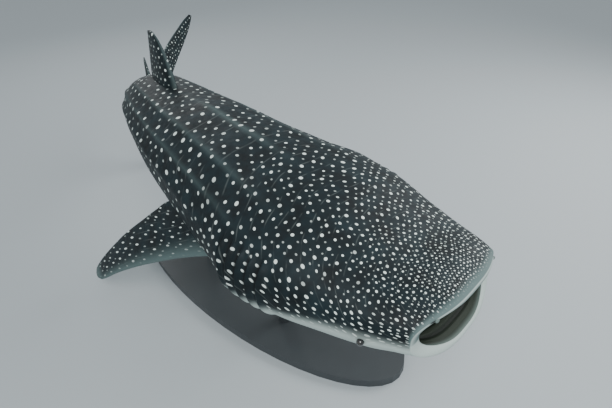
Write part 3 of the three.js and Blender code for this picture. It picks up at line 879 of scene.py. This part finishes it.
# The eyes: small round glass eyes, black with a thin grey-brown ring round the pupil, set in
# sockets in the side of the head just behind the corners of the mouth.
EYE_FIT = 0.98
EYE_RINGS = [(0.40, "#050607"), (0.46, "#3b3831"), (0.66, "#24231f"), (0.80, "#0b0c0d")]
for side, label in ((1, "left"), (-1, "right")):
    low, high = (Vector(corner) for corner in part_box(f"eye_{label}"))
    centre = (low + high) / 2
    bm = bmesh.new()
    bmesh.ops.create_uvsphere(bm, u_segments=48, v_segments=32, radius=EYE["radius"] * EYE_FIT)
    sideways = Matrix.Rotation(math.radians(90), 3, "Y")
    bmesh.ops.rotate(bm, verts=bm.verts, cent=(0, 0, 0), matrix=sideways)
    bmesh.ops.translate(bm, verts=bm.verts, vec=centre)
    eye = cast_piece(f"glass_eye_{label}", bm)

    glass, tree, shader = new_finish(f"glass_eye_{label}")
    solid = add_node(tree, "ShaderNodeTexCoord").outputs["Object"]
    front = centre + Vector((side * EYE["radius"], 0, 0))
    away = add_node(tree, "ShaderNodeVectorMath", {"operation": "DISTANCE"}, i0=solid, i1=tuple(front))
    scale = add_node(tree, "ShaderNodeMapRange",
                     i0=away.outputs["Value"], i1=0.0, i2=EYE["radius"], i3=0.0, i4=1.0)
    rings = add_node(tree, "ShaderNodeValToRGB", i0=scale.outputs[0])
    stops = rings.color_ramp.elements
    for k, (place, colour) in enumerate(EYE_RINGS):
        stop = stops[k] if k < 2 else stops.new(place)
        stop.position = place
        stop.color = hex_colour(colour)
    fill_sockets(tree, shader, Base_Color=rings.outputs[0], Roughness=0.08, IOR=1.52,
                 Coat_Weight=1.0, Coat_Roughness=0.03)
    eye.data.materials.append(glass)
    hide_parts(f"eye_{label}")
    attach(eye, "root")


# The stand: powder-coated steel, a flat oval plate on the floor with two round bars welded
# to it that reach up to the belly. Its dark grey grain is drawn at 2 mm so that it shows.
steel, tree, shader = new_finish("powder_coated_steel")
solid = add_node(tree, "ShaderNodeTexCoord").outputs["Object"]
cloud = add_node(tree, "ShaderNodeTexNoise", Vector=solid, Scale=3.0, Detail=4.0)
tone = add_node(tree, "ShaderNodeMix", {"data_type": "RGBA"},
                i0=cloud.outputs[0], i6=hex_colour("#33373a"), i7=hex_colour("#43484b"))
grain = add_node(tree, "ShaderNodeTexNoise", Vector=solid, Scale=500.0, Detail=2.0)
bump = add_node(tree, "ShaderNodeBump", Strength=0.15, Distance=0.002, Height=grain.outputs[0])
fill_sockets(tree, shader, Base_Color=tone.outputs[2], Normal=bump.outputs[0], Roughness=0.46, IOR=1.5)
for name in ("stand_base", "stand_rod_front", "stand_rod_rear"):
    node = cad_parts[name]
    node.data.materials.clear()
    node.data.materials.append(steel)


# The floor, light and camera: a plain pale floor and soft studio light. The camera stands
# ahead of the shark, above it and on its right, at the photo's viewing angle.
bm = bmesh.new()
bmesh.ops.create_grid(bm, x_segments=1, y_segments=1, size=40)
floor = cast_piece("floor", bm)
pale, tree, shader = new_finish("pale_floor")
fill_sockets(tree, shader, Base_Color=hex_colour("#b0b7ba"), Roughness=0.8)
floor.data.materials.append(pale)

world = bpy.data.worlds.new("studio")
world.use_nodes = True
fill_sockets(world.node_tree, world.node_tree.nodes["Background"], Color=hex_colour("#dfe6ea"), Strength=0.8)
bpy.context.scene.world = world

LAMP_SIZE = 5.0
LAMP_TARGET = Vector((0, 0, 1.4))
LAMPS = [
    ("key", (-4.5, -5.0, 7.5), 600),
    ("fill", (6.0, -3.0, 5.0), 350),
    ("back", (3.0, 8.0, 6.0), 130),
]
for name, where, power in LAMPS:
    lamp = bpy.data.lights.new(name, "AREA")
    lamp.shape = "DISK"
    lamp.size = LAMP_SIZE
    lamp.energy = power
    holder = bpy.data.objects.new(name, lamp)
    bpy.context.collection.objects.link(holder)
    holder.location = where
    holder.rotation_euler = (LAMP_TARGET - Vector(where)).to_track_quat("-Z", "Y").to_euler()

# Angles in degrees, distance in shares of LENGTH, and focal length in pixels of the photo's width.
CAMERA = {"azimuth": 45.5, "height": 34.5, "away": 0.552, "roll": -3.2, "focal": 484.0}
PHOTO_WIDTH = 612
SENSOR_WIDTH = 36
# The point aimed at is to the left, back and up from the snout, in shares of LENGTH.
AIM = Vector((0.009, 0.211, 0.015))
azimuth = math.radians(CAMERA["azimuth"])
height = math.radians(CAMERA["height"])
roll = math.radians(CAMERA["roll"])
toward = Vector((-math.cos(height) * math.sin(azimuth),
                 -math.cos(height) * math.cos(azimuth),
                 math.sin(height)))
view = -toward
right = view.cross(Vector((0, 0, 1))).normalized()
up = right.cross(view)
turned_right = right * math.cos(roll) + up * math.sin(roll)
turned_up = -right * math.sin(roll) + up * math.cos(roll)
matrix = Matrix((turned_right, turned_up, -view)).transposed().to_4x4()
matrix.translation = AIM * LENGTH + SHIFT + toward * CAMERA["away"] * LENGTH
lens = bpy.data.cameras.new("camera")
lens.sensor_width = SENSOR_WIDTH
lens.lens = SENSOR_WIDTH * CAMERA["focal"] / PHOTO_WIDTH
camera = bpy.data.objects.new("camera", lens)
bpy.context.collection.objects.link(camera)
camera.matrix_world = matrix
bpy.context.scene.camera = camera
